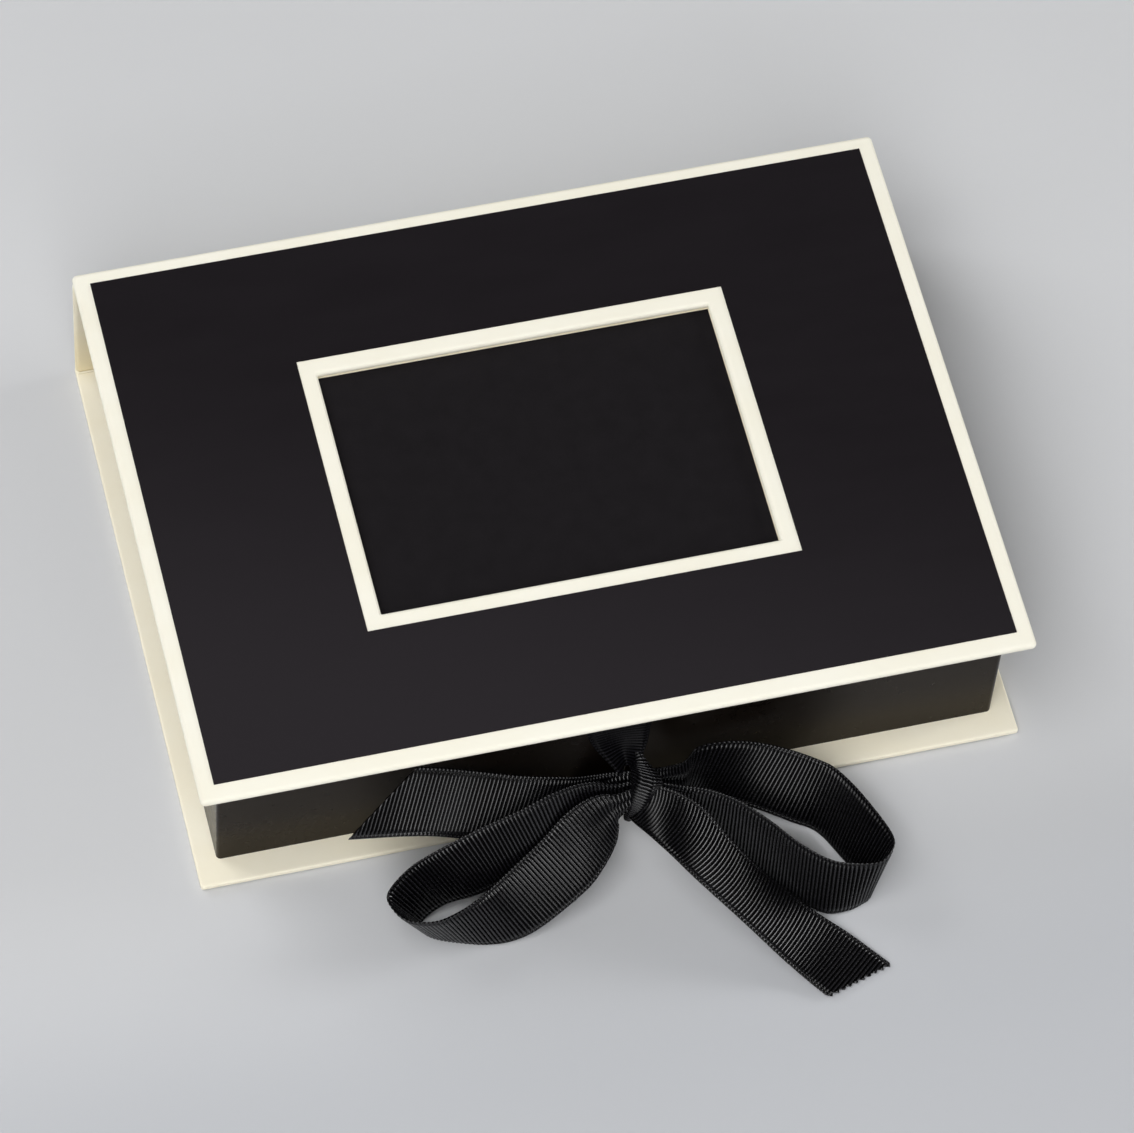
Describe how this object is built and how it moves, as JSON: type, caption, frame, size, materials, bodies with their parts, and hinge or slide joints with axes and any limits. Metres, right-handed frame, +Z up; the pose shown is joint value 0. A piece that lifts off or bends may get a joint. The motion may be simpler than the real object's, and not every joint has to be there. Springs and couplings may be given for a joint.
{
  "type": "gift box",
  "caption": "Book-style gift box with a hinged paper-wrapped lid, a picture window with a card pocket behind it, a deep tray inside and a ribbon bow tied in front.",
  "frame": {"origin": "on the table, under the middle of the case's base", "axes": "+X along the long side, +Y back to the spine, +Z up"},
  "size_m": [0.265, 0.2745, 0.0567],
  "materials": {
    "cream_paper": "satin",
    "black_paper": "satin",
    "lining_paper": "matte",
    "greyboard": "matte",
    "pocket_card": "matte",
    "stay_paper": "matte",
    "insert_card": "matte",
    "ribbon": "satin"
  },
  "bodies": {
    "case": {"base_board": "greyboard", "base_wrap": "cream_paper", "base_lining": "cream_paper", "spine_board": "greyboard", "spine_wrap": "cream_paper", "spine_lining": "cream_paper", "tray_floor": "greyboard", "tray_front_wall": "greyboard", "tray_back_wall": "greyboard", "tray_left_wall": "greyboard", "tray_right_wall": "greyboard", "corner_stays": "stay_paper", "tray_wrap": "black_paper", "tray_lining": "lining_paper", "tray_floor_lining": "lining_paper", "base_ribbon": "ribbon", "bow_knot": "ribbon", "bow_loop_left": "ribbon", "bow_loop_right": "ribbon", "bow_tail_left": "ribbon", "bow_tail_right": "ribbon"},
    "lid": {"lid_board": "greyboard", "lid_wrap": "cream_paper", "lid_panel": "black_paper", "lid_lining": "lining_paper", "pocket_spacer": "pocket_card", "pocket_back": "pocket_card", "lid_ribbon": "ribbon"},
    "card": {"photo_card": "insert_card"}
  },
  "joints": [
    {"name": "lid_hinge", "type": "hinge", "parent": "case", "child": "lid", "pos_m": [0, 0.0991, 0.0535], "axis": [-1, 0, 0], "range_deg": [0, 194.5]},
    {"name": "card_slide", "type": "slide", "parent": "lid", "child": "card", "axis": [1, 0, 0], "range_m": [0, 0.044]}
  ]
}
